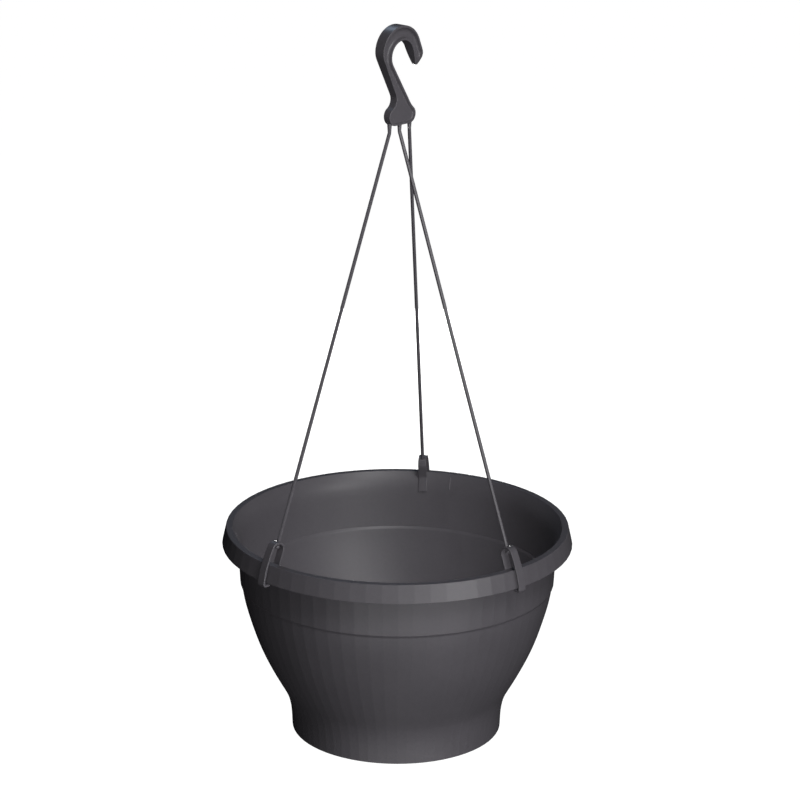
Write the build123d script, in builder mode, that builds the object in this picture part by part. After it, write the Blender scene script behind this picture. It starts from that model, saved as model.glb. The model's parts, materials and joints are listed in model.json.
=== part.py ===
from build123d import *
from math import cos, radians, sin, tan
import os

# Hanging basket: a faceted moulded bowl, carried by three strands that clip over its rim and meet
# in one hook. Millimetres. +Z is up. The origin is the centre of the hook's seat, the round inner
# arc that goes over a bar or a bracket. X runs along the hook's flat side, Y through its thickness.

# ---------------------------------------------------------------- driving dimensions
# bowl: radii are to the middle of a facet, depths are measured down from the rim's top
RIM_DROP = 406.5          # the rim's top lies this far below the seat's centre
AXIS_X = 1.8              # the bowl's axis stands this far along X from the seat's centre
FACETS = 70               # flat vertical strips all round the outside
FACET_TURN = 0.38         # azimuth of the first strip's middle
SKIRT_R = 150.0           # outer radius at the skirt's lower edge
SKIRT_DEPTH = 15.4        # from the rim's top to the skirt's lower edge
RIM_TOP_R = 146.6         # outer radius at the rim's top
RIM_BEVEL = 0.7           # bevel round the rim's outer top edge
LAND_INNER_R = 141.0      # inner radius of the flat land on the rim
WALL = 2.0                # wall thickness
WALL_TOP_R = 136.6        # outer radius of the wall just under the skirt
STEP_R = 134.8            # outer radius above the small step in the wall
STEP_DEPTH = 49.4
STEP_IN = 1.3             # how far the wall steps in
STEP_FALL = 1.7           # height of the sloping step
BELL = [(132.1, 60.0), (127.1, 80.0), (120.5, 100.0), (111.8, 120.0), (102.0, 138.5)]
NECK_R = 95.2             # outer radius where the bell runs into the foot
NECK_DEPTH = 151.5
FOOT_R = 90.5             # outer radius of the foot ring
POT_HEIGHT = 183.3
FLOOR_RISE = 9.0          # underside of the floor, above the foot ring's resting face
FLOOR = 2.4
DRAIN_R = 4.0             # drain holes through the floor
DRAIN_COUNT = 8
DRAIN_RING_R = 62.0
RIB_AZIMUTHS = (23.8, 140.6)  # short locating ribs under the rim, on the inside
RIB_WIDTH = 1.6
RIB_PROUD = 0.9
RIB_DEPTH = 13.0

# hook
SEAT_R = 12.7             # radius of the hook's inner arc
CREST_R = 22.1            # radius of the hook's outer arc, and its centre
CREST_X = -1.1
CREST_Z = 3.1
SHANK_ANGLE = 32.4        # lean of the shank's inner side from upright
HOOK_FOOT_Z = -57.5       # the hook's lower edge
HOOK_THICK_TOP = 10.9     # thickness through Y at the hook's top, and at its foot
HOOK_THICK_FOOT = 6.6
WEB = 4.2                 # thickness of the recessed web
BORDER = 1.8              # width of the border left round the web
HOOK_EDGE = 0.4           # rounding of the border's outer edges
# the hook's outline, as points of X and Z; arcs run tangentially between them
CREST_ANGLES = (24.0, 166.0)      # the outer arc runs from the tip's side to the shank's side
SEAT_TIP_ANGLE = 20.0             # the inner arc ends here on the tip's side
SHANK_IN_LOW = (10.1, -39.6)      # lower end of the shank's inner side
LOBE_IN = (14.3, -44.4)           # where the foot's lobe begins on that side
LOBE_IN_LOW = (10.2, HOOK_FOOT_Z)
LOBE_OUT_LOW = (-6.5, HOOK_FOOT_Z)
LOBE_OUT = (-10.4, -43.2)
SHANK_OUT_LOW = (-6.85, -31.9)
SHANK_OUT_TOP = (-21.5, -1.8)
SHANK_OUT_TANGENT = (-0.437, 0.9)
TIP_POINTS = [(25.4, -2.3), (19.9, -10.8), (17.4, -9.6)]
TIP_ROUNDINGS = (7.5, 2.0, 1.6)
NOSE_X = 9.0                      # the tip, beyond this, is rounded off through its thickness
NOSE_ARC = ((5.2, 8.0), (4.0, -2.0), (1.3, -11.2))  # points of Y and Z on one side

# strands
STRAND_R = 1.6            # a strand is a six-sided rod, this far from its axis to a corner
ROD_LAP = 0.4             # the rod starts this far up inside its taper
STRAND_PITCH = 11.8       # distance between the strands' upper ends
STRAND_MIDDLE_X = 1.1     # where the middle one stands
HEAD_RISE = 4.9           # the strands' barrel heads lie this far above the hook's lower edge
HEAD_R = 1.35             # barrel head
HEAD_LENGTH = 4.4
RUN_CLEAR = 0.08          # radial running clearance of the barrel heads
END_CLEAR = 0.2           # clearance at the ends of the barrel heads
SLOT_CLEAR = 0.12         # clearance beside the necks and tapers
NECK_PIN_R = 0.95         # thin neck between a barrel head and the taper below it
TAPER_R = 1.95            # radius at the taper's top
TAPER_RISE = {"left": 2.2, "right": 1.2, "rear": 1.8}  # how far each taper's top goes up into the foot
TAPER_TIP_DROP = 6.15     # the taper's tip, below the hook's lower edge
TAPER_TIP_R = 1.4
MOUTH_CLEAR = 0.3         # above a taper's top, in the mouth that it goes up into
SWING_MAX = 4.0           # degrees of swing each way that the slots leave room for
BALL_R = 2.1              # ball end that holds a clip
BALL_GAP = 0.45           # from the ball to the band above it

# clips, in the radial plane: distance from the bowl's axis, and height above the rim's top
CLIP_WIDTH = 7.3
CLIP_BAND = 1.8           # thickness of the band
CLIP_ARCH_R = 7.0         # outer radius of the arch at the top, and its centre
CLIP_ARCH_C = (138.8, 11.4)
CLIP_HOLE_R = 1.95
CLIP_BEND = (136.6, -1.8)     # where the inner leg turns to follow the wall
CLIP_INNER_END = (132.3, -13.9)
CLIP_OUTER_LOW = (155.2, -12.6)
CLIP_LIP_H = -17.5        # underside of the lip
CLIP_LIP_R = 148.4        # the lip's end, under the skirt
CLIP_CORNER = 2.6         # outside radius of the corner between the outer leg and the lip
PIVOT_R = 135.8           # where a strand crosses the middle of the band
PIVOT_H = 16.7
CLIP_AZIMUTHS = {"left": 177.4, "right": 265.2, "rear": 34.0}
CLIP_LEANS = {"left": 0.0, "right": 0.0, "rear": 5.0}  # degrees of lean towards the bowl's axis
CLIP_HEEL = (154.0, -16.6)    # a clip leans about its heel

RIM_Z = -RIM_DROP
HEAD_Z = HOOK_FOOT_Z + HEAD_RISE
TIP_Z = HOOK_FOOT_Z - TAPER_TIP_DROP
STRAND_X = {"left": STRAND_MIDDLE_X - STRAND_PITCH, "right": STRAND_MIDDLE_X,
            "rear": STRAND_MIDDLE_X + STRAND_PITCH}

os.makedirs("parts", exist_ok=True)


def save(part, name):
    """Label a finished piece and write it to its own file."""
    part.label = name
    export_step(part, f"parts/{name}.step")


def polar(radius, angle, centre=(0, 0)):
    """The point at a radius and an angle in degrees round a centre."""
    return (centre[0] + radius * cos(radians(angle)), centre[1] + radius * sin(radians(angle)))


def radial_plane(azimuth):
    """The upright plane through the bowl's axis: local x is distance out, y is height."""
    out = polar(1, azimuth)
    return Plane(origin=(AXIS_X, 0, RIM_Z), x_dir=(*out, 0), z_dir=(out[1], -out[0], 0))


def clip_plane(side):
    """The radial plane that a clip lies in, leaned about the clip's heel."""
    upright = radial_plane(CLIP_AZIMUTHS[side])
    lean = radians(CLIP_LEANS[side])
    heel = upright.from_local_coords(Vector(*CLIP_HEEL))
    across = upright.x_dir * cos(lean) + upright.y_dir * sin(lean)
    up = upright.y_dir * cos(lean) - upright.x_dir * sin(lean)
    return Plane(origin=heel - across * CLIP_HEEL[0] - up * CLIP_HEEL[1], x_dir=across, z_dir=upright.z_dir)


def pivot_of(side):
    """Where a strand crosses the middle of its clip's band."""
    return clip_plane(side).from_local_coords(Vector(PIVOT_R, PIVOT_H, 0))


# ---------------------------------------------------------------- basket
bowl_axis = Axis((AXIS_X, 0, RIM_Z), (0, 0, 1))
bowl_centre = Plane(origin=(AXIS_X, 0, RIM_Z))
profile_plane = radial_plane(FACET_TURN)
step_low = (STEP_R - STEP_IN, -STEP_DEPTH - STEP_FALL)
bell_points = [(radius, -depth) for radius, depth in BELL]
core_r = FOOT_R - 20      # the swept outside is a ring down to this radius, filled later
floor_top = -POT_HEIGHT + FLOOR_RISE + FLOOR
groove_in_r = WALL_TOP_R + 0.2
inner_top_depth = 20.0    # the inside flares out to the land from this depth up
flare = [(138.0, -5.0), (135.4, -12.0)]
flare_end = (WALL_TOP_R - WALL - 0.2, -inner_top_depth)

with BuildPart() as basket:
    # the outside: one profile carried along a ring of flat strips, with mitred corners
    with BuildLine(bowl_centre.rotated((0, 0, FACET_TURN))) as ring:
        first = (100.0 * cos(radians(180 / FACETS)), 0)
        corners = [polar(100.0, (i + 0.5) * 360 / FACETS) for i in range(FACETS)]
        Polyline(first, *corners, first)
    with BuildSketch(profile_plane):
        with BuildLine():
            Polyline(
                (core_r, -POT_HEIGHT),
                (core_r, 0),
                (RIM_TOP_R - RIM_BEVEL, 0),
                (RIM_TOP_R, -RIM_BEVEL),
                (SKIRT_R, -SKIRT_DEPTH),
                (WALL_TOP_R, -SKIRT_DEPTH),
                (STEP_R, -STEP_DEPTH),
                step_low,
            )
            Spline(step_low, *bell_points, (NECK_R, -NECK_DEPTH), (FOOT_R, -POT_HEIGHT))
            Line((FOOT_R, -POT_HEIGHT), (core_r, -POT_HEIGHT))
        make_face()
    sweep(path=ring.wires()[0], transition=Transition.RIGHT)
    # fill the middle, so that the floor can be cut from it
    with BuildSketch(bowl_centre.offset(-POT_HEIGHT)):
        Circle(core_r + 1)
    extrude(amount=POT_HEIGHT - 100)
    # the smooth inside
    with BuildSketch(profile_plane):
        with BuildLine():
            Polyline((0, floor_top), (0, 1), (LAND_INNER_R, 1), (LAND_INNER_R, 0))
            Spline((LAND_INNER_R, 0), *flare, flare_end)
            Polyline(
                flare_end,
                (STEP_R - WALL, -STEP_DEPTH - 0.5),
                (step_low[0] - WALL, step_low[1] - 0.5),
            )
            # the wall is measured across its slope, so the bell's offset grows towards the foot
            inner_bell = [(r - WALL - 0.16 * i, z) for i, (r, z) in enumerate(bell_points, 1)]
            Spline((step_low[0] - WALL, step_low[1] - 0.5), *inner_bell,
                   (NECK_R - WALL - 0.6, -NECK_DEPTH), (FOOT_R - 1.0, floor_top))
            Line((FOOT_R - 1.0, floor_top), (0, floor_top))
        make_face()
    revolve(axis=bowl_axis, mode=Mode.SUBTRACT)
    # the hollow of the folded rim, open downwards between the wall and the skirt
    with BuildSketch(profile_plane):
        Polygon(
            (groove_in_r, -SKIRT_DEPTH - 1),
            (groove_in_r, -SKIRT_DEPTH),
            (LAND_INNER_R + 0.8, -WALL),
            (RIM_TOP_R - WALL, -WALL),
            (SKIRT_R - WALL, -SKIRT_DEPTH),
            (SKIRT_R - WALL, -SKIRT_DEPTH - 1),
            align=None,
        )
    revolve(axis=bowl_axis, mode=Mode.SUBTRACT)
    # the recess under the floor leaves a foot ring
    with BuildSketch(bowl_centre.offset(-POT_HEIGHT)):
        Circle(FOOT_R - WALL - 0.4)
    extrude(amount=FLOOR_RISE, taper=-4, mode=Mode.SUBTRACT)
    with Locations(bowl_centre.offset(floor_top)):
        with PolarLocations(DRAIN_RING_R, DRAIN_COUNT):
            Hole(DRAIN_R)
        Hole(DRAIN_R)
    # locating ribs
    for azimuth in RIB_AZIMUTHS:
        with BuildSketch(radial_plane(azimuth)):
            Polygon(
                (LAND_INNER_R + 0.5, -1.6),
                (flare[0][0] + 1 - RIB_PROUD, -2.6),
                (flare[1][0] - RIB_PROUD, -RIB_DEPTH),
                (flare[1][0] + 0.5, -RIB_DEPTH),
                align=None,
            )
        extrude(amount=RIB_WIDTH / 2, both=True)
save(basket.part, "basket")


# ---------------------------------------------------------------- hook
crest_centre = (CREST_X, CREST_Z)
crest_low, crest_high = CREST_ANGLES
crest_start = polar(CREST_R, crest_high, crest_centre)
shank_down = (sin(radians(SHANK_ANGLE)), -cos(radians(SHANK_ANGLE)))
pocket_length = HEAD_LENGTH + 2 * END_CLEAR
slot_top = NECK_PIN_R + SLOT_CLEAR
slot_low = slot_top + (HEAD_RISE + 1) * tan(radians(SWING_MAX))


def mouth_r(height):
    """A mouth's radius at a height over the foot: it leaves room for the taper's swing."""
    return TAPER_R + SLOT_CLEAR + (HEAD_RISE - height) * tan(radians(SWING_MAX))


with BuildPart() as hook:
    with BuildSketch(Plane.XZ) as hook_face:
        with BuildLine():
            seat = CenterArc((0, 0), SEAT_R, SEAT_TIP_ANGLE, 180 + SHANK_ANGLE - SEAT_TIP_ANGLE)
            Line(seat @ 1, SHANK_IN_LOW)
            neck = TangentArc(SHANK_IN_LOW, LOBE_IN, tangent=shank_down)
            lobe = TangentArc(neck @ 1, LOBE_IN_LOW, tangent=neck % 1)
            Line(lobe @ 1, LOBE_OUT_LOW)
            far_lobe = TangentArc(LOBE_OUT_LOW, LOBE_OUT, tangent=(-1, 0))
            far_neck = TangentArc(far_lobe @ 1, SHANK_OUT_LOW, tangent=far_lobe % 1)
            Line(far_neck @ 1, SHANK_OUT_TOP)
            TangentArc(SHANK_OUT_TOP, crest_start, tangent=SHANK_OUT_TANGENT)
            CenterArc(crest_centre, CREST_R, crest_low, crest_high - crest_low)
            Polyline(polar(CREST_R, crest_low, crest_centre), *TIP_POINTS, seat @ 0)
        make_face()
        for corner, radius in zip(TIP_POINTS, TIP_ROUNDINGS):
            fillet(hook_face.vertices().sort_by_distance(Vector(*corner))[0], radius)
    extrude(amount=HOOK_THICK_TOP, both=True)
    # the thickness tapers from the top to the foot
    with BuildSketch(Plane.YZ):
        top_z = CREST_Z + CREST_R
        Polygon(
            (-HOOK_THICK_FOOT / 2, HOOK_FOOT_Z),
            (HOOK_THICK_FOOT / 2, HOOK_FOOT_Z),
            (HOOK_THICK_TOP / 2, top_z),
            (-HOOK_THICK_TOP / 2, top_z),
            align=None,
        )
    extrude(amount=50, both=True, mode=Mode.INTERSECT)
    fillet(hook.faces().sort_by(Axis.Y)[0].outer_wire().edges(), HOOK_EDGE)
    fillet(hook.faces().sort_by(Axis.Y)[-1].outer_wire().edges(), HOOK_EDGE)
    # a recess on each side leaves the web and its border
    for side in (-1, 1):
        with BuildSketch(Plane.XZ.offset(side * WEB / 2)):
            add(hook_face.sketch_local)
            offset(amount=-BORDER, mode=Mode.REPLACE)
        extrude(amount=side * HOOK_THICK_TOP, mode=Mode.SUBTRACT)
    # the tip's end is rounded off through its thickness
    for side in (-1, 1):
        high, middle, low = [(side * y, z) for y, z in NOSE_ARC]
        with BuildSketch(Plane.YZ.offset(NOSE_X)):
            with BuildLine():
                ThreePointArc(high, middle, low)
                Polyline(low, (low[0], low[1] - 2), (side * HOOK_THICK_TOP, low[1] - 2),
                         (side * HOOK_THICK_TOP, high[1]), high)
            make_face()
        extrude(amount=CREST_R, mode=Mode.SUBTRACT)
    # snap-in pockets for the strands' barrel heads, open downwards through flared slots
    for x in STRAND_X.values():
        with BuildSketch(Plane.YZ.offset(x)):
            with Locations((0, HEAD_Z)):
                Circle(HEAD_R + RUN_CLEAR)
            Polygon((-slot_top, HEAD_Z), (slot_top, HEAD_Z), (slot_low, HOOK_FOOT_Z - 1),
                    (-slot_low, HOOK_FOOT_Z - 1), align=None)
        extrude(amount=pocket_length / 2, both=True, mode=Mode.SUBTRACT)
    # round mouths that the tapers' tops go up into
    for side, x in STRAND_X.items():
        rise = TAPER_RISE[side] + MOUTH_CLEAR
        with BuildSketch(Plane(origin=(x, 0, 0), x_dir=(1, 0, 0), z_dir=(0, -1, 0))):
            Polygon((0, HOOK_FOOT_Z + rise), (mouth_r(rise), HOOK_FOOT_Z + rise),
                    (mouth_r(-1), HOOK_FOOT_Z - 1), (0, HOOK_FOOT_Z - 1), align=None)
        revolve(axis=Axis((x, 0, 0), (0, 0, 1)), mode=Mode.SUBTRACT)
save(hook.part, "hook")


# ---------------------------------------------------------------- strands
for side, azimuth in CLIP_AZIMUTHS.items():
    x = STRAND_X[side]
    out = polar(1, azimuth)
    top = Vector(x, 0, TIP_Z + ROD_LAP)
    pivot = pivot_of(side)
    taper_top = HOOK_FOOT_Z + TAPER_RISE[side]
    run = (pivot - top).normalized()
    ball = pivot + run * (CLIP_BAND / 2 + BALL_GAP + BALL_R)
    rod_plane = Plane(origin=top, x_dir=Vector(-out[1], out[0], 0).cross(run), z_dir=run)
    with BuildPart() as strand:
        # barrel head, lying along X in the hook's foot
        with BuildSketch(Plane.YZ.offset(x)):
            with Locations((0, HEAD_Z)):
                Circle(HEAD_R)
        extrude(amount=HEAD_LENGTH / 2, both=True)
        # neck and taper below it
        with BuildSketch(Plane(origin=(x, 0, 0), x_dir=(1, 0, 0), z_dir=(0, -1, 0))):
            Polygon(
                (0, HEAD_Z),
                (NECK_PIN_R, HEAD_Z),
                (NECK_PIN_R, taper_top),
                (TAPER_R - 0.3, taper_top),
                (TAPER_R, taper_top - 0.3),
                (TAPER_TIP_R, TIP_Z),
                (TAPER_TIP_R - 0.4, TIP_Z - 0.4),
                (0, TIP_Z - 0.4),
                align=None,
            )
        revolve(axis=Axis((x, 0, 0), (0, 0, 1)))
        # the long rod
        with BuildSketch(rod_plane):
            RegularPolygon(STRAND_R, 6)
        extrude(amount=(ball - top).length)
        with Locations(ball):
            Sphere(BALL_R)
    print(side, "strand", round((pivot - top).length, 1), "pivot", [round(v, 3) for v in pivot])
    save(strand.part, f"strand_{side}")


# ---------------------------------------------------------------- clips
arch_low_angle = 202.0    # the arch runs from the outer leg at 30 degrees to the inner leg here
arch_high_angle = 30.0

for side, x in STRAND_X.items():
    top = Vector(x, 0, TIP_Z + ROD_LAP)
    pivot = pivot_of(side)
    with BuildPart() as clip:
        with BuildSketch(clip_plane(side)):
            with BuildLine() as band:
                arch = CenterArc(CLIP_ARCH_C, CLIP_ARCH_R, arch_high_angle,
                                 arch_low_angle - arch_high_angle)
                Polyline(arch @ 1, CLIP_BEND, CLIP_INNER_END)
                leg = TangentArc(arch @ 0, CLIP_OUTER_LOW, tangent=(arch % 0) * -1)
                corner_x = CLIP_OUTER_LOW[0] + 0.2
                heel = Line(leg @ 1, (corner_x, CLIP_LIP_H + CLIP_CORNER))
                heel_arc = RadiusArc(heel @ 1, (corner_x - CLIP_CORNER, CLIP_LIP_H), CLIP_CORNER)
                Line(heel_arc @ 1, (CLIP_LIP_R, CLIP_LIP_H))
                offset(amount=CLIP_BAND, side=Side.LEFT)
            make_face()
        extrude(amount=CLIP_WIDTH / 2, both=True)
        # hole for the strand
        with BuildSketch(Plane(origin=pivot, z_dir=pivot - top)):
            Circle(CLIP_HOLE_R)
        extrude(amount=CLIP_BAND * 1.4, both=True, mode=Mode.SUBTRACT)
    save(clip.part, f"clip_{side}")
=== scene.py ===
import json
import math

import bmesh
import bpy
from mathutils import Matrix, Vector, geometry


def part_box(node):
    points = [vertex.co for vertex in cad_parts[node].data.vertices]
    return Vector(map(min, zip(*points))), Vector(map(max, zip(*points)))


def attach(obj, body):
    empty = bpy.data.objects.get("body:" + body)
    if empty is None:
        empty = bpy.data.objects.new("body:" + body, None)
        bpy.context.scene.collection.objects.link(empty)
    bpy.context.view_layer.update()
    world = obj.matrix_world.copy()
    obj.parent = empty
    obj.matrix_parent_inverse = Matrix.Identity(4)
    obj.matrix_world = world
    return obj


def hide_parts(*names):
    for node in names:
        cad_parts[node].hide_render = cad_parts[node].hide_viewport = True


# Hanging basket: the looks. Every piece is a mesh with softened moulded edges that stands for one CAD
# node of the same size and place. Metres, in the CAD frame; sections are written in millimetres.

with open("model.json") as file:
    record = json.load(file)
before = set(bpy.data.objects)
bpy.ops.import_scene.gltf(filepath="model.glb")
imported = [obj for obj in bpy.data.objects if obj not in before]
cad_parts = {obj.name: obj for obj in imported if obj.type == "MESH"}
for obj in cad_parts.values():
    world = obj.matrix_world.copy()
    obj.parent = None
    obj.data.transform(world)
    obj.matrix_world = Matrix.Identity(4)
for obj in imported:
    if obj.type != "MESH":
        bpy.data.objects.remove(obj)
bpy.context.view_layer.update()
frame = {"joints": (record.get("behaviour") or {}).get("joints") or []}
MM = 0.001

# ---------------------------------------------------------------- places, from the frame
basket_low, basket_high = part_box("basket")
hook_low, hook_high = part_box("hook")
AXIS = (basket_low + basket_high) / 2
RIM_Z = basket_high.z
FOOT_Z = basket_low.z
HOOK_FOOT_Z = hook_low.z
JOINTS = {joint["name"]: joint for joint in frame["joints"]}
HEAD_X, _, HEAD_Z = JOINTS["hanger_swing"]["pos_m"]
SIDES = ("left", "right", "rear")
PIVOTS = {side: Vector(JOINTS[f"clip_{side}_rock"]["pos_m"]) for side in SIDES}

# ---------------------------------------------------------------- sizes, millimetres
FACETS = 70
FACET_TURN = 0.38             # azimuth of the first facet's middle, degrees
FACET_FLAT = 0.86             # the flat share of a facet; the rest rounds its corners
COLUMNS = (-0.86, -0.43, 0.0, 0.43, 0.86, 0.93, 1.0, 1.07)  # mesh columns over one facet
STRAND_PITCH = 11.8           # between the strands' upper ends
SWING = 4.0                   # degrees of swing that the hook's slots leave room for
TAPER_R = 1.95
TAPER_TIP_R = 1.4
TAPER_TIP_DROP = 6.15         # from the hook's foot to the taper's lower end
TAPER_RISE = {"left": 2.2, "right": 1.2, "rear": 1.8}  # each taper's top goes this far up into the foot
ROD_DROP = 5.75               # from the hook's foot to the rod's upper end, inside the taper
STRAND_R = 1.6
NECK_R = 0.95
BARREL_R = 1.35
BARREL_LENGTH = 4.4
BALL_R = 2.1
BALL_GAP = 0.45               # between the ball and the clip's band
FLOOR_TOP = 11.4              # the bowl's floor, over its foot
FLOOR_UNDER = 9.0
DRAINS = 8                    # drain holes on a circle of this radius
DRAIN_CIRCLE_R = 62.0
DRAIN_R = 4.0
RIB_AZIMUTHS = (23.8, 140.6)  # degrees
RIB_WIDTH = 1.6
CLIP_WIDTH = 7.3
CLIP_BAND = 1.8
CLIP_HOLE_R = 1.95
CLIP_LEANS = {"left": 0.0, "right": 0.0, "rear": 5.0}  # degrees of lean towards the bowl's axis
CLIP_HEEL = Vector((154.0, -16.6))                     # a clip leans about its heel


# ---------------------------------------------------------------- plane curves
def polar(radius, angle, centre=(0, 0)):
    """The point at a radius and an angle in degrees round a centre."""
    turn = math.radians(angle)
    return Vector((centre[0] + radius * math.cos(turn), centre[1] + radius * math.sin(turn)))


def arc(centre, radius, start, end, step=4.0):
    """Points along an arc, from one angle to another in degrees."""
    count = max(2, math.ceil(abs(end - start) / step))
    return [polar(radius, start + (end - start) * i / count, centre) for i in range(count + 1)]


def tangent_arc(start, end, direction, count=16):
    """Points along the arc that leaves start in a direction and reaches end, and its last direction."""
    start, end, direction = Vector(start), Vector(end), Vector(direction).normalized()
    side = Vector((-direction.y, direction.x))
    chord = end - start
    reach = chord.length_squared / (2 * side.dot(chord))
    centre = start + side * reach
    first = math.degrees(math.atan2(start.y - centre.y, start.x - centre.x))
    last = math.degrees(math.atan2(end.y - centre.y, end.x - centre.x))
    if reach > 0 and last < first:
        last += 360
    if reach < 0 and last > first:
        last -= 360
    points = arc(centre, abs(reach), first, last, abs(last - first) / count)
    out = end - centre
    heading = Vector((-out.y, out.x)) * math.copysign(1, reach)
    return points, heading.normalized()


def soften(corners, steps=5, closed=False):
    """A line through corners (x, y, radius), each corner rounded to its radius."""
    points = []
    count = len(corners)
    for i, (x, y, radius) in enumerate(corners):
        here = Vector((x, y))
        if radius == 0 or (not closed and i in (0, count - 1)):
            points.append(here)
            continue
        before = (Vector(corners[i - 1][:2]) - here).normalized()
        after = (Vector(corners[(i + 1) % count][:2]) - here).normalized()
        half = before.angle(after) / 2
        middle = here + (before + after).normalized() * (radius / math.sin(half))
        first, last = here + before * (radius / math.tan(half)), here + after * (radius / math.tan(half))
        for k in range(steps + 1):
            share = k / steps
            ray = (first - middle).slerp(last - middle, share) if half > 0.01 else here - middle
            points.append(middle + ray.normalized() * radius)
    return points


def curve_through(points, per_span=8):
    """A smooth curve through points: a cubic with natural ends, spaced by chord length."""
    points = [Vector(p) for p in points]
    count = len(points)
    span = [(points[i + 1] - points[i]).length for i in range(count - 1)]
    # second derivatives, by elimination on the three-term rows
    upper, right = [0.0] * count, [Vector((0, 0))] * count
    for i in range(1, count - 1):
        pull = ((points[i + 1] - points[i]) / span[i] - (points[i] - points[i - 1]) / span[i - 1]) * 6
        pivot = 2 * (span[i - 1] + span[i]) - span[i - 1] * upper[i - 1]
        upper[i] = span[i] / pivot
        right[i] = (pull - right[i - 1] * span[i - 1]) / pivot
    bend = [Vector((0, 0))] * count
    for i in range(count - 2, 0, -1):
        bend[i] = right[i] - bend[i + 1] * upper[i]
    made = []
    for i in range(count - 1):
        for k in range(per_span):
            t = k / per_span
            s = 1 - t
            made.append(points[i] * s + points[i + 1] * t
                        + (bend[i] * (s ** 3 - s) + bend[i + 1] * (t ** 3 - t)) * span[i] ** 2 / 6)
    return made + [points[-1]]


def evenly(points, spacing):
    """A closed line through points, spaced evenly."""
    loop = points + [points[0]]
    lengths = [(b - a).length for a, b in zip(loop, loop[1:])]
    total = sum(lengths)
    count = round(total / spacing)
    made, walked, i = [], 0.0, 0
    for k in range(count):
        target = total * k / count
        while walked + lengths[i] < target:
            walked += lengths[i]
            i += 1
        made.append(loop[i].lerp(loop[i + 1], (target - walked) / lengths[i]))
    return made


def normals_in(outline):
    """The inward normal at each point of a closed counter-clockwise outline."""
    count = len(outline)
    made = []
    for i, here in enumerate(outline):
        one = (here - outline[i - 1]).normalized()
        two = (outline[(i + 1) % count] - here).normalized()
        along = (one + two).normalized()
        made.append(Vector((-along.y, along.x)) / max(0.4, along.dot(one)))
    return made


def signed_area(outline):
    return sum(a.x * b.y - b.x * a.y for a, b in zip(outline, outline[1:] + outline[:1])) / 2


# ---------------------------------------------------------------- meshes
def new_piece(name, mesh):
    """An object that holds a bmesh, in the scene."""
    data = bpy.data.meshes.new(name)
    bmesh.ops.remove_doubles(mesh, verts=mesh.verts, dist=1e-7)
    bmesh.ops.recalc_face_normals(mesh, faces=mesh.faces)
    mesh.to_mesh(data)
    mesh.free()
    piece = bpy.data.objects.new(name, data)
    bpy.context.scene.collection.objects.link(piece)
    return piece


def loft(rings, close_round=False):
    """A bmesh through rings of the same count; its ends are capped, or joined to each other."""
    mesh = bmesh.new()
    rows = [[mesh.verts.new(p) for p in ring] for ring in rings]
    pairs = list(zip(rows, rows[1:]))
    if close_round:
        pairs.append((rows[-1], rows[0]))
    for low, high in pairs:
        count = len(low)
        for k in range(count):
            nxt = (k + 1) % count
            mesh.faces.new((low[k], low[nxt], high[nxt], high[k]))
    if not close_round:
        mesh.faces.new(reversed(rows[0]))
        mesh.faces.new(rows[-1])
    return mesh


def slab(outline, width, edge, place, steps=3):
    """A bmesh of a plane outline given a width, with rounded edges. place(x, y, across) gives a point."""
    inward = normals_in(outline)
    rings = []
    for side in (-1, 1):
        turns = range(steps + 1) if side < 0 else range(steps, -1, -1)
        for k in turns:
            angle = math.pi / 2 * k / steps
            inset = edge * (1 - math.sin(angle))
            across = side * (width / 2 - edge * (1 - math.cos(angle)))
            rings.append([place(p.x + n.x * inset, p.y + n.y * inset, across)
                          for p, n in zip(outline, inward)])
    return loft(rings)


def turned(profile, origin, direction, count=48):
    """A bmesh turned about an axis, from (radius, distance along the axis) points."""
    turn = Vector((0, 0, 1)).rotation_difference(direction.normalized())
    rings = []
    for radius, along in profile:
        ring = []
        for k in range(count):
            angle = 2 * math.pi * k / count
            local = Vector((radius * math.cos(angle), radius * math.sin(angle), along))
            ring.append(origin + turn @ local)
        rings.append(ring)
    return loft(rings)


def combine(piece, others, operation):
    """Joins others to a piece, or cuts them from it."""
    for other in others:
        change = piece.modifiers.new("change", "BOOLEAN")
        change.operation = operation
        change.solver = "EXACT"
        change.object = other
    graph = bpy.context.evaluated_depsgraph_get()
    mesh = bpy.data.meshes.new_from_object(piece.evaluated_get(graph))
    piece.modifiers.clear()
    piece.data = mesh
    for other in others:
        bpy.data.objects.remove(other)


def finish_piece(piece, body, node, material, sharp=38.0):
    """Smooth shading with crisp corners, a material, and its place on the CAD model."""
    piece.data.name = piece.name
    piece.data.shade_smooth()
    piece.data.set_sharp_from_angle(angle=math.radians(sharp))
    weighted = piece.modifiers.new("weighted_normals", "WEIGHTED_NORMAL")
    weighted.keep_sharp = True
    piece.data.materials.clear()
    piece.data.materials.append(material)
    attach(piece, body)
    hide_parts(node)


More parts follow.
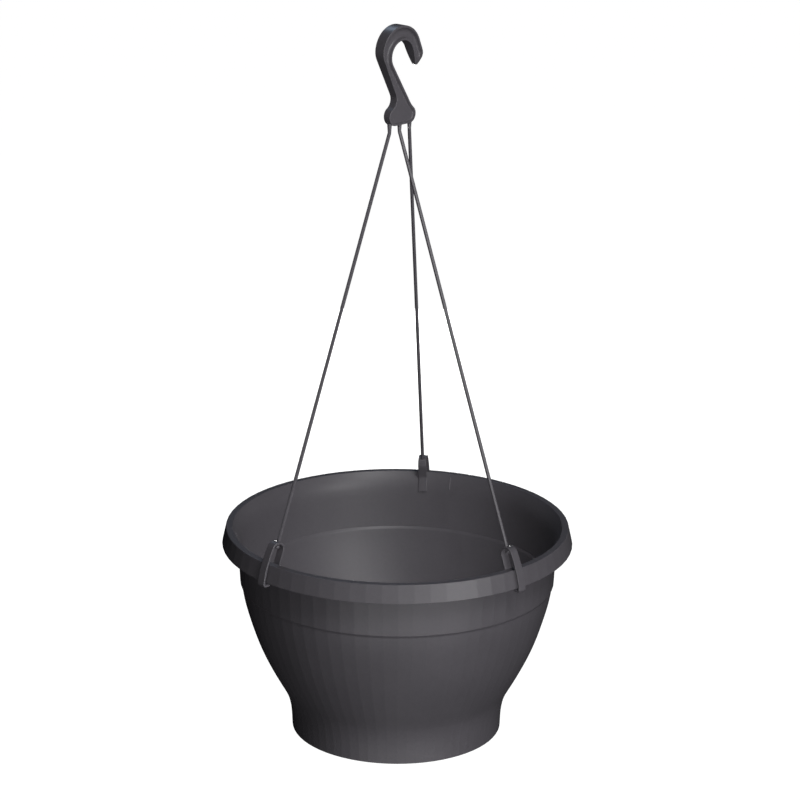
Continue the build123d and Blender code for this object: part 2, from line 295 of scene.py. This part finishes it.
# ---------------------------------------------------------------- materials
def moulded_plastic(name, colour, roughness, grain, streaks):
    """Satin moulded polypropylene: fine grain, flow streaks, soft mottling, and convex edges painted paler,
    a painted highlight with a little rubbing wear.
    """
    material = bpy.data.materials.new(name)
    material.use_nodes = True
    nodes, links = material.node_tree.nodes, material.node_tree.links
    shader = nodes["Principled BSDF"]
    shader.inputs["IOR"].default_value = 1.49
    place = nodes.new("ShaderNodeTexCoord")

    def noise(scale, detail, rough, stretch=(1, 1, 1)):
        mapping = nodes.new("ShaderNodeMapping")
        mapping.inputs["Scale"].default_value = stretch
        links.new(place.outputs["Object"], mapping.inputs["Vector"])
        made = nodes.new("ShaderNodeTexNoise")
        made.inputs["Scale"].default_value = scale
        made.inputs["Detail"].default_value = detail
        made.inputs["Roughness"].default_value = rough
        links.new(mapping.outputs["Vector"], made.inputs["Vector"])
        return made.outputs["Fac"]

    def spread(value, low, high, to_low, to_high):
        made = nodes.new("ShaderNodeMapRange")
        numbers = {"From Min": low, "From Max": high, "To Min": to_low, "To Max": to_high}
        for socket, number in numbers.items():
            made.inputs[socket].default_value = number
        links.new(value, made.inputs["Value"])
        return made.outputs["Result"]

    def times(one, two):
        made = nodes.new("ShaderNodeMath")
        made.operation = "MULTIPLY"
        links.new(one, made.inputs[0])
        links.new(two, made.inputs[1])
        return made.outputs["Value"]

    mottle = noise(14.0, 4.0, 0.6)
    flow = noise(9.0, 3.0, 0.55, streaks)
    fine = noise(grain, 3.0, 0.7)
    specks = noise(grain * 0.22, 2.0, 0.5)
    edge_highlight_and_wear = nodes.new("ShaderNodeNewGeometry").outputs["Pointiness"]

    # colour: mottling and flow streaks, and convex edges painted paler, a painted highlight along the edges
    # with a little rubbing wear
    shade = times(spread(mottle, 0.3, 0.7, 0.95, 1.05), spread(flow, 0.3, 0.7, 0.965, 1.035))
    shade = times(shade, spread(specks, 0.35, 0.65, 0.98, 1.02))
    # painted highlight: convex edges, found by Pointiness, are painted up to 22% paler, with a little
    # rubbing wear
    shade = times(shade, spread(edge_highlight_and_wear, 0.51, 0.58, 1.0, 1.22))
    tint = nodes.new("ShaderNodeVectorMath")
    tint.operation = "SCALE"
    tint.inputs[0].default_value = colour
    links.new(shade, tint.inputs["Scale"])
    links.new(tint.outputs["Vector"], shader.inputs["Base Color"])

    # gloss: the grain breaks it up, and the convex edges are smoother
    gloss = times(spread(mottle, 0.3, 0.7, roughness * 0.94, roughness * 1.07),
                  spread(edge_highlight_and_wear, 0.51, 0.58, 1.0, 0.82))
    links.new(gloss, shader.inputs["Roughness"])

    coarse = nodes.new("ShaderNodeBump")
    coarse.inputs["Strength"].default_value = 0.05
    coarse.inputs["Distance"].default_value = 0.4 * MM
    links.new(specks, coarse.inputs["Height"])
    bump = nodes.new("ShaderNodeBump")
    bump.inputs["Strength"].default_value = 0.10
    bump.inputs["Distance"].default_value = 0.08 * MM
    links.new(fine, bump.inputs["Height"])
    links.new(coarse.outputs["Normal"], bump.inputs["Normal"])
    links.new(bump.outputs["Normal"], shader.inputs["Normal"])
    return material


ANTHRACITE = (0.0840, 0.0790, 0.0890)
bowl_plastic = moulded_plastic("bowl_polypropylene", ANTHRACITE, 0.46, 1500.0, (1.0, 1.0, 0.08))
hanger_plastic = moulded_plastic("hanger_polypropylene", ANTHRACITE, 0.42, 2200.0, (1.0, 1.0, 0.15))


# ---------------------------------------------------------------- bowl
def facet_factor(share):
    """How much further out than a facet's middle the outside stands, at a share of the half facet."""
    half = math.pi / FACETS
    edge = FACET_FLAT * half
    angle = abs(share) * half
    if angle <= edge:
        return 1 / math.cos(angle)
    past, corner = angle - edge, half - edge
    return (1 + math.tan(edge) * (past - past * past / (2 * corner))) / math.cos(edge)


def bowl_section():
    """The bowl's section as rows (radius, height over the rim, how far the row follows the facets)."""
    foot_h = (FOOT_Z - RIM_Z) / MM
    floor_top = foot_h + FLOOR_TOP
    floor_under = foot_h + FLOOR_UNDER
    bell = [(133.5, -51.1), (132.1, -60), (127.1, -80), (120.5, -100), (111.8, -120), (102.0, -138.5),
            (95.2, -151.5), (90.5, foot_h)]
    # the inside follows the outside, a wall's thickness in, and flares to the rim's land at the top
    lining = [(r - 2 - 0.16 * i, h) for i, (r, h) in enumerate(bell[1:-1], 1)]
    lining = [(131.5, -51.6)] + lining[:-1] + [(92.6, -151.5), (89.4, floor_top)]
    lining = curve_through(lining)[1:-2]
    inside = soften([(DRAIN_R, floor_under, 0), (DRAIN_R, floor_top, 0.3), (30, floor_top, 0),
                     (60, floor_top, 0), (87.6, floor_top, 0)])
    inside += soften([(87.6, floor_top, 0), (89.4, floor_top, 1.5), (*lining[-1], 0)])[1:-1]
    inside += list(reversed(lining))
    inside += soften([(131.5, -51.6, 0), (132.8, -49.9, 0.5), (133.4, -40, 0), (133.9, -30, 0)])
    inside += curve_through([(134.4, -20), (135.4, -12), (138.0, -5), (141.0, 0)])[:-2]
    inside += soften([(*inside[-1], 0), (141.0, 0, 0.4), (142.5, 0, 0)])[1:]
    skirt = soften([(144.5, 0, 0), (146.45, 0, 0.7), (150, -15.4, 0.45), (148.9, -15.4, 0)])
    groove = soften([(148.9, -15.4, 0), (148, -15.4, 0.35), (144.7, -2, 1.2), (142.1, -2, 1.2),
                     (136.75, -14.6, 0.6), (136.62, -16.2, 0)])
    wall = soften([(136.55, -17, 0), (136.2, -23, 0), (135.5, -36, 0), (134.8, -49.4, 0.4),
                   (133.5, -51.1, 0)])
    wall += curve_through(bell)[1:-1]
    foot = soften([(*wall[-1], 0), (90.5, foot_h, 0.35), (89.5, foot_h, 0)])[1:]
    under = soften([(89.5, foot_h, 0), (88.0, foot_h, 0.5), (87.4, floor_under, 1.2), (60, floor_under, 0),
                    (30, floor_under, 0), (DRAIN_R, floor_under, 0.3), (DRAIN_R, floor_top, 0)])
    rows = []
    for part, share in ((inside, 0), (skirt, 1), (groove, 0), (wall, 1), (foot, 1), (under[:-1], 0)):
        rows += [(p.x, p.y, share) for p in part]
    kept = [rows[0]]
    for row in rows[1:]:
        if math.dist(row[:2], kept[-1][:2]) > 0.02:
            kept.append(row)
    return kept[1:]


def bowl_ring(radius, height, share):
    """One row of the bowl's mesh, all the way round."""
    ring = []
    half = 180 / FACETS
    for facet in range(FACETS):
        for column in COLUMNS:
            angle = FACET_TURN + facet * 2 * half + column * half
            local = column if column <= 1 else column - 2
            reach = radius * (1 + share * (facet_factor(local) - 1))
            p = polar(reach * MM, angle, AXIS)
            ring.append(Vector((p.x, p.y, RIM_Z + height * MM)))
    return ring


def in_radial_plane(azimuth):
    """A function from distance out, height over the rim and distance across to a point."""
    out = polar(1, azimuth)

    def place(x, y, across):
        return Vector((AXIS.x + (x * out.x - across * out.y) * MM,
                       AXIS.y + (x * out.y + across * out.x) * MM,
                       RIM_Z + y * MM))
    return place


def make_bowl():
    """The bowl, with its drain holes and the locating ribs under its rim."""
    bowl = new_piece("bowl", loft([bowl_ring(*row) for row in bowl_section()], close_round=True))
    floor_top = (FOOT_Z - RIM_Z) / MM + FLOOR_TOP
    cutters = []
    for k in range(DRAINS):
        centre = polar(DRAIN_CIRCLE_R * MM, 45 * k, AXIS)
        origin = Vector((centre.x, centre.y, RIM_Z + floor_top * MM))
        profile = [(4.9, 0.6), (4.3, 0.0), (4.08, -0.1), (DRAIN_R, -0.35), (DRAIN_R, -2.05), (4.08, -2.3),
                   (4.3, -2.4), (4.9, -3.0)]
        profile = [(r * MM, along * MM) for r, along in reversed(profile)]
        cutters.append(new_piece(f"drain_cutter_{k}", turned(profile, origin, Vector((0, 0, 1)))))
    combine(bowl, cutters, "DIFFERENCE")
    ribs = []
    for azimuth in RIB_AZIMUTHS:
        outline = soften([(141.0, -1.6, 0.3), (138.3, -2.9, 0.6), (134.6, -13.0, 0.6), (136.1, -13.0, 0.3)],
                         closed=True)
        if signed_area(outline) < 0:
            outline.reverse()
        ribs.append(new_piece(f"rib_{azimuth}", slab(outline, RIB_WIDTH, 0.3, in_radial_plane(azimuth))))
    combine(bowl, ribs, "UNION")
    finish_piece(bowl, "basket", "basket", bowl_plastic)


# ---------------------------------------------------------------- hook, millimetres
HOOK_TOP = 25.2
SHANK_LEAN = 32.4             # degrees
SEAT_R = 12.7                 # round the bar that the hook hangs on
CREST_R = 22.1
CREST_CENTRE = (-1.1, 3.1)
HOOK_HALF_TOP = 5.45          # half the hook's thickness at its top
HOOK_HALF_FOOT = 3.3          # and at its foot
HOOK_EDGE = 0.4               # rounding of the border's outer edge
HOOK_BORDER = 1.8             # where the border ends and its inner side starts to fall
HOOK_WEB = 2.1                # half the web's thickness
NOSE_R = 59.27                # the tip's two faces are rounded to this radius
NOSE_Z = 10.04
NOSE_OFF = 54.04              # from the hook's middle plane to the centre of that rounding
TIP_X = 9.0                   # the tip is beyond this X, between these heights
TIP_LOW, TIP_HIGH = -13.0, 8.0
TIP_SOLID = 4.5               # the recess ends this far below the seat's centre
POCKET_R = 1.43
POCKET_LENGTH = 4.8
SLOT_TOP = 1.07               # half the slot's width where it meets the pocket
MOUTH_GAP = 0.12              # room round a taper
MOUTH_RISE = 0.3              # room over a taper


def hook_outline():
    """The hook's outline, counter-clockwise, X and Z in millimetres."""
    foot = HOOK_FOOT_Z / MM
    lean = math.radians(SHANK_LEAN)
    seat = arc((0, 0), SEAT_R, 20.0, 212.4)
    points = seat + [Vector((10.1, -39.6))]
    heading = Vector((math.sin(lean), -math.cos(lean)))
    for end in ((14.3, -44.4), (10.2, foot)):
        bend, heading = tangent_arc(points[-1], end, heading)
        points += bend[1:]
    points.append(Vector((-6.5, foot)))
    heading = Vector((-1, 0))
    for end in ((-10.4, -43.2), (-6.85, -31.9)):
        bend, heading = tangent_arc(points[-1], end, heading)
        points += bend[1:]
    points.append(Vector((-21.5, -1.8)))
    crest_start = polar(CREST_R, 166, CREST_CENTRE)
    bend, _ = tangent_arc(points[-1], crest_start, (-0.437, 0.9))
    points += bend[1:] + arc(CREST_CENTRE, CREST_R, 166, 24)[1:]
    tip = soften([(*points[-1], 0), (25.4, -2.3, 7.5), (19.9, -10.8, 2.0), (17.4, -9.6, 1.6),
                  (*seat[0], 0)])
    points += tip[1:-1]
    return points if signed_area(points) > 0 else list(reversed(points))


def distance_to(outline, point):
    """Distance from a point to a closed outline."""
    best = 1e9
    for a, b in zip(outline, outline[1:] + outline[:1]):
        along = b - a
        t = min(1.0, max(0.0, (point - a).dot(along) / along.length_squared))
        best = min(best, (point - a - along * t).length_squared)
    return math.sqrt(best)


def hook_half_thickness(inward, x, z):
    """Half the hook's thickness at a distance in from its outline."""
    share = (z - HOOK_FOOT_Z / MM) / (HOOK_TOP - HOOK_FOOT_Z / MM)
    full = HOOK_HALF_FOOT + (HOOK_HALF_TOP - HOOK_HALF_FOOT) * share
    in_tip = x > TIP_X and TIP_LOW < z < TIP_HIGH
    if in_tip:
        # the tip is rounded off through its thickness
        full = min(full, math.sqrt(NOSE_R ** 2 - (z - NOSE_Z) ** 2) - NOSE_OFF)
    if inward < HOOK_EDGE:
        return full - HOOK_EDGE + math.sqrt(HOOK_EDGE ** 2 - (HOOK_EDGE - inward) ** 2)
    # the last few millimetres of the tip are solid
    past = min(inward - HOOK_BORDER, z + TIP_SOLID if in_tip else inward)
    if past <= 0:
        return full
    # the recess falls steeply from the border and runs out softly into the web
    depth = full - HOOK_WEB
    run = min(1.0, past / (0.35 + 0.55 * depth))
    return full - depth * (1 - (1 - run) ** 2.4) ** 0.6


def make_hook():
    """The hook: two faces over one flat mesh, the side between them, and the pockets in its foot."""
    outline = evenly(hook_outline(), 0.45)
    inward = normals_in(outline)
    # rows of mesh points at these distances in from the outline
    levels = (0.06, 0.15, 0.27, 0.4, 0.8, 1.3, 1.72, 1.8, 1.84, 1.92, 2.05, 2.25, 2.5, 2.8, 3.15, 3.5,
              4.0, 4.6, 5.4, 6.3)
    points = [(p, 0.0) for p in outline]
    for level in levels:
        for p, n in zip(outline, inward):
            q = p + n.normalized() * level
            if distance_to(outline, q) > level - 0.03:
                points.append((q, level))
    flat = [p for p, level in points]
    made = geometry.delaunay_2d_cdt(flat, [], [list(range(len(outline)))], 1, 1e-5)
    verts, faces = made[0], made[2]
    near = {tuple(round(c, 4) for c in p): level for p, level in points}
    level_of = [near.get(tuple(round(c, 4) for c in v), None) for v in verts]
    level_of = [distance_to(outline, v) if level is None else level for v, level in zip(verts, level_of)]
    mesh = bmesh.new()
    sheets = []
    for side in (-1, 1):
        half = [side * hook_half_thickness(level, v.x, v.y) for v, level in zip(verts, level_of)]
        sheets.append([mesh.verts.new((v.x * MM, y * MM, v.y * MM)) for v, y in zip(verts, half)])
    for sheet in sheets:
        for face in faces:
            mesh.faces.new([sheet[i] for i in face])
    edge_ids = [i for i, level in enumerate(level_of) if level == 0.0]
    index_at = {tuple(round(c, 4) for c in verts[i]): i for i in edge_ids}
    rim = [index_at[tuple(round(c, 4) for c in p)] for p in outline]
    for a, b in zip(rim, rim[1:] + rim[:1]):
        mesh.faces.new((sheets[0][a], sheets[0][b], sheets[1][b], sheets[1][a]))
    hook = new_piece("hook_body", mesh)
    # pockets for the strands' barrel heads, open downwards through flared slots
    foot, head = HOOK_FOOT_Z / MM, HEAD_Z / MM
    flare = math.tan(math.radians(SWING))
    slot_low = SLOT_TOP + (head - foot + 1) * flare
    cutters = []
    for k in (-1, 0, 1):
        x = HEAD_X / MM + k * STRAND_PITCH
        opening = math.degrees(math.asin(SLOT_TOP / POCKET_R))
        section = arc((0, head), POCKET_R, -90 + opening, 270 - opening, 8)
        section += [Vector((-slot_low, foot - 1)), Vector((slot_low, foot - 1))]
        if signed_area(section) < 0:
            section.reverse()

        def place(y, z, across, x=x):
            return Vector(((x + across) * MM, y * MM, z * MM))
        cutters.append(new_piece(f"pocket_{k}", slab(section, POCKET_LENGTH, 0.05, place, steps=1)))
    for side in SIDES:
        rise = TAPER_RISE[side] + MOUTH_RISE
        profile = [(TAPER_R + MOUTH_GAP + (head - foot - h) * flare, h) for h in (-1, rise)]
        origin = Vector((strand_top(side).x, 0, HOOK_FOOT_Z))
        mouth = turned([(r * MM, h * MM) for r, h in profile], origin, Vector((0, 0, 1)), 40)
        cutters.append(new_piece(f"mouth_{side}", mouth))
    combine(hook, cutters, "DIFFERENCE")
    finish_piece(hook, "hook", "hook", hanger_plastic)


# ---------------------------------------------------------------- strands
def strand_top(side):
    """Where a strand's long rod leaves its taper."""
    across = {"left": -1, "right": 0, "rear": 1}[side] * STRAND_PITCH
    return Vector((HEAD_X + across * MM, 0, HOOK_FOOT_Z - ROD_DROP * MM))


def make_strand(side):
    """A strand: its barrel head, neck, taper, six-sided rod and ball."""
    top = strand_top(side)
    x, foot = top.x, HOOK_FOOT_Z
    pivot = PIVOTS[side]
    run = (pivot - top).normalized()
    ball = pivot + run * (CLIP_BAND / 2 + BALL_GAP + BALL_R) * MM
    out = Vector((pivot.x - AXIS.x, pivot.y - AXIS.y, 0)).normalized()
    across = Vector((-out.y, out.x, 0))
    outer = across.cross(run).normalized()
    corners = [(*polar(STRAND_R, 60 * k), 0.3) for k in range(6)]
    section = soften(corners, steps=3, closed=True)
    length = (ball - top).length
    rings = []
    for k in range(13):
        origin = top + run * length * k / 12
        rings.append([origin + (outer * p.x + across * p.y) * MM for p in section])
    rod = new_piece(f"strand_{side}_rod", loft(rings))

    # barrel head, neck and taper
    head_half = BARREL_LENGTH / 2
    barrel = [(BARREL_R - 0.25, -head_half), (BARREL_R - 0.07, -head_half + 0.07),
              (BARREL_R, -head_half + 0.25), (BARREL_R, head_half - 0.25),
              (BARREL_R - 0.07, head_half - 0.07), (BARREL_R - 0.25, head_half)]
    barrel = turned([(r * MM, a * MM) for r, a in barrel], Vector((x, 0, HEAD_Z)), Vector((1, 0, 0)), 40)
    rise = TAPER_RISE[side]
    taper = soften([(NECK_R, (HEAD_Z - foot) / MM, 0), (NECK_R, rise, 0.1), (TAPER_R, rise, 0.3),
                    (TAPER_TIP_R, -TAPER_TIP_DROP, 0.3), (0.5, -6.5, 0)])
    taper = turned([(p.x * MM, p.y * MM) for p in reversed(taper)], Vector((x, 0, foot)),
                   Vector((0, 0, 1)), 48)
    knob = [(BALL_R * math.sin(math.radians(a)) + 0.01, -BALL_R * math.cos(math.radians(a)))
            for a in range(0, 181, 9)]
    knob = turned([(r * MM, a * MM) for r, a in knob], ball, run, 48)
    others = [new_piece(f"strand_{side}_{name}", mesh)
              for name, mesh in (("barrel", barrel), ("taper", taper), ("knob", knob))]
    combine(rod, others, "UNION")
    finish_piece(rod, f"strand_{side}", f"strand_{side}", hanger_plastic, sharp=50.0)


# ---------------------------------------------------------------- clips
def clip_outline():
    """The clip's band in the radial plane, counter-clockwise: distance out and height over the rim."""
    arch_centre, arch_r = (138.8, 11.4), 7.0
    heel_x, lip_h, heel_r = 155.4, -17.5, 2.6
    outer = [Vector((148.4, lip_h))]
    outer += arc((heel_x - heel_r, lip_h + heel_r), heel_r, -90, 0, 10)
    start = polar(arch_r, 30, arch_centre)
    leave = Vector((math.sin(math.radians(30)), -math.cos(math.radians(30))))
    leg, _ = tangent_arc(start, (155.2, -12.6), leave)
    outer += list(reversed(leg)) + arc(arch_centre, arch_r, 30, 202, 5)[1:]
    outer += soften([(*outer[-1], 0), (136.6, -1.8, 4.0), (132.3, -13.9, 0)])[1:]
    normals = []
    for i, here in enumerate(outer):
        before = (here - outer[i - 1]) if i else outer[1] - outer[0]
        after = outer[i + 1] - here if i + 1 < len(outer) else before
        along = (before.normalized() + after.normalized()).normalized()
        normals.append(Vector((-along.y, along.x)) / max(0.5, along.dot(before.normalized())))
    inner = [p + n * CLIP_BAND for p, n in zip(outer, normals)]
    loop = [(*outer[0], 0.5)] + [(*p, 0) for p in outer[1:-1]] + [(*outer[-1], 0.5)]
    loop += [(*inner[-1], 0.5)] + [(*p, 0) for p in reversed(inner[1:-1])] + [(*inner[0], 0.5)]
    loop = soften(loop, steps=4, closed=True)
    return loop if signed_area(loop) > 0 else list(reversed(loop))


def make_clip(side):
    """A clip: the bent band, with a hole for its strand."""
    pivot = PIVOTS[side]
    azimuth = math.degrees(math.atan2(pivot.y - AXIS.y, pivot.x - AXIS.x))
    turn = Matrix.Rotation(math.radians(CLIP_LEANS[side]), 2)
    outline = [CLIP_HEEL + turn @ (p - CLIP_HEEL) for p in clip_outline()]
    clip = new_piece(f"clip_{side}_band", slab(outline, CLIP_WIDTH, 0.4, in_radial_plane(azimuth), 4))
    hole = [(CLIP_HOLE_R * MM, -2.6 * MM), (CLIP_HOLE_R * MM, 2.6 * MM)]
    cutter = new_piece(f"clip_{side}_hole", turned(hole, pivot, pivot - strand_top(side), 40))
    combine(clip, [cutter], "DIFFERENCE")
    finish_piece(clip, f"clip_{side}", f"clip_{side}", hanger_plastic)


make_bowl()
make_hook()
for side in SIDES:
    make_strand(side)
    make_clip(side)


# ---------------------------------------------------------------- camera
VIEW_TURN = 46.4              # the view looks this far from +Y towards +X, degrees
VIEW_DOWN = 17.5              # and this far below the horizon
VIEW_ROLL = 0.39
CAMERA_BACK = 2.4333          # from the bowl's axis, along the ground
CAMERA_UP = 0.8784            # over the rim
CAMERA_RIGHT = 0.0015
away = Vector((math.sin(math.radians(VIEW_TURN)), math.cos(math.radians(VIEW_TURN)), 0))
right = Vector((away.y, -away.x, 0))

camera = bpy.data.objects.new("camera", bpy.data.cameras.new("camera"))
bpy.context.scene.collection.objects.link(camera)
camera.data.sensor_width = 36.0
camera.data.lens = 135.8
camera.data.clip_end = 200.0
look = (Matrix.Rotation(math.radians(-VIEW_TURN), 4, "Z")
        @ Matrix.Rotation(math.radians(90 - VIEW_DOWN), 4, "X")
        @ Matrix.Rotation(math.radians(VIEW_ROLL), 4, "Z"))
stand = Vector((AXIS.x, AXIS.y, RIM_Z + CAMERA_UP)) - away * CAMERA_BACK + right * CAMERA_RIGHT
camera.matrix_world = Matrix.Translation(stand) @ look
bpy.context.scene.camera = camera

# ---------------------------------------------------------------- light
scene = bpy.context.scene
scene.view_settings.view_transform = "Standard"
world = bpy.data.worlds.new("studio")
scene.world = world
world.use_nodes = True
world.node_tree.nodes["Background"].inputs["Color"].default_value = (1, 1, 1, 1)
world.node_tree.nodes["Background"].inputs["Strength"].default_value = 1.0
world.cycles_visibility.diffuse = False
world.cycles_visibility.glossy = False

# each light: degrees of turn from behind the camera (right is positive) and of height, the disk's
# width in metres, watts, and whether it casts shadows; the washes cast none, so that the wall under
# the skirt is lit
LIGHTS = {
    "key": (22, 50, 0.8, 27.5, True),
    "front": (22, 30, 0.8, 6.0, True),
    "low_left": (-20, -20, 0.8, 5.0, True),
    "low_front": (15, -20, 0.8, 2.9, True),
    "wash_right": (40, 12, 0.8, 19.5, False),
    "wash_low_right": (42, -10, 0.8, 9.8, False),
    "wash_low_front": (10, -10, 0.8, 9.3, False),
    "wash_low_left": (-20, -10, 0.8, 2.6, False),
    "under": (0, -80, 1.0, 0.8, True),
    "sky": (-160, 52, 0.5, 6.0, True),
    "left_rear": (-120, 10, 0.9, 0.6, True),
    "right_rear": (130, 10, 0.9, 1.0, True),
    "back": (180, -5, 0.6, 30.0, True),
}
LIGHT_DISTANCE = 2.6
SKY_BLUE = (0.62, 0.78, 1.0)
centre = Vector((AXIS.x, AXIS.y, RIM_Z - 0.02))
for name, (turn, height, size, watts, shadows) in LIGHTS.items():
    lamp = bpy.data.objects.new(f"light_{name}", bpy.data.lights.new(f"light_{name}", "AREA"))
    lamp.data.shape = "DISK"
    lamp.data.size = size
    lamp.data.energy = watts
    lamp.data.use_shadow = shadows
    if name == "sky":
        lamp.data.color = SKY_BLUE
    flat = -away * math.cos(math.radians(turn)) + right * math.sin(math.radians(turn))
    toward = flat * math.cos(math.radians(height)) + Vector((0, 0, math.sin(math.radians(height))))
    lamp.location = centre + toward * LIGHT_DISTANCE
    lamp.rotation_mode = "QUATERNION"
    lamp.rotation_quaternion = (-toward).to_track_quat("-Z", "Y")
    lamp.visible_camera = False
    scene.collection.objects.link(lamp)

# ---------------------------------------------------------------- floor
FLOOR_DROP = 0.35             # the basket hangs this far over the floor
floor_mesh = bmesh.new()
bmesh.ops.create_grid(floor_mesh, x_segments=8, y_segments=8, size=30.0)
floor = new_piece("floor", floor_mesh)
floor.location = (AXIS.x, AXIS.y, FOOT_Z - FLOOR_DROP)
paint = bpy.data.materials.new("floor_paint")
paint.use_nodes = True
shader = paint.node_tree.nodes["Principled BSDF"]
shader.inputs["Base Color"].default_value = (0.08, 0.08, 0.08, 1)
shader.inputs["Roughness"].default_value = 0.9
shader.inputs["Emission Color"].default_value = (1, 1, 1, 1)
shader.inputs["Emission Strength"].default_value = 1.0
floor.data.materials.append(paint)
floor.visible_diffuse = False
floor.visible_glossy = False
floor.visible_shadow = False
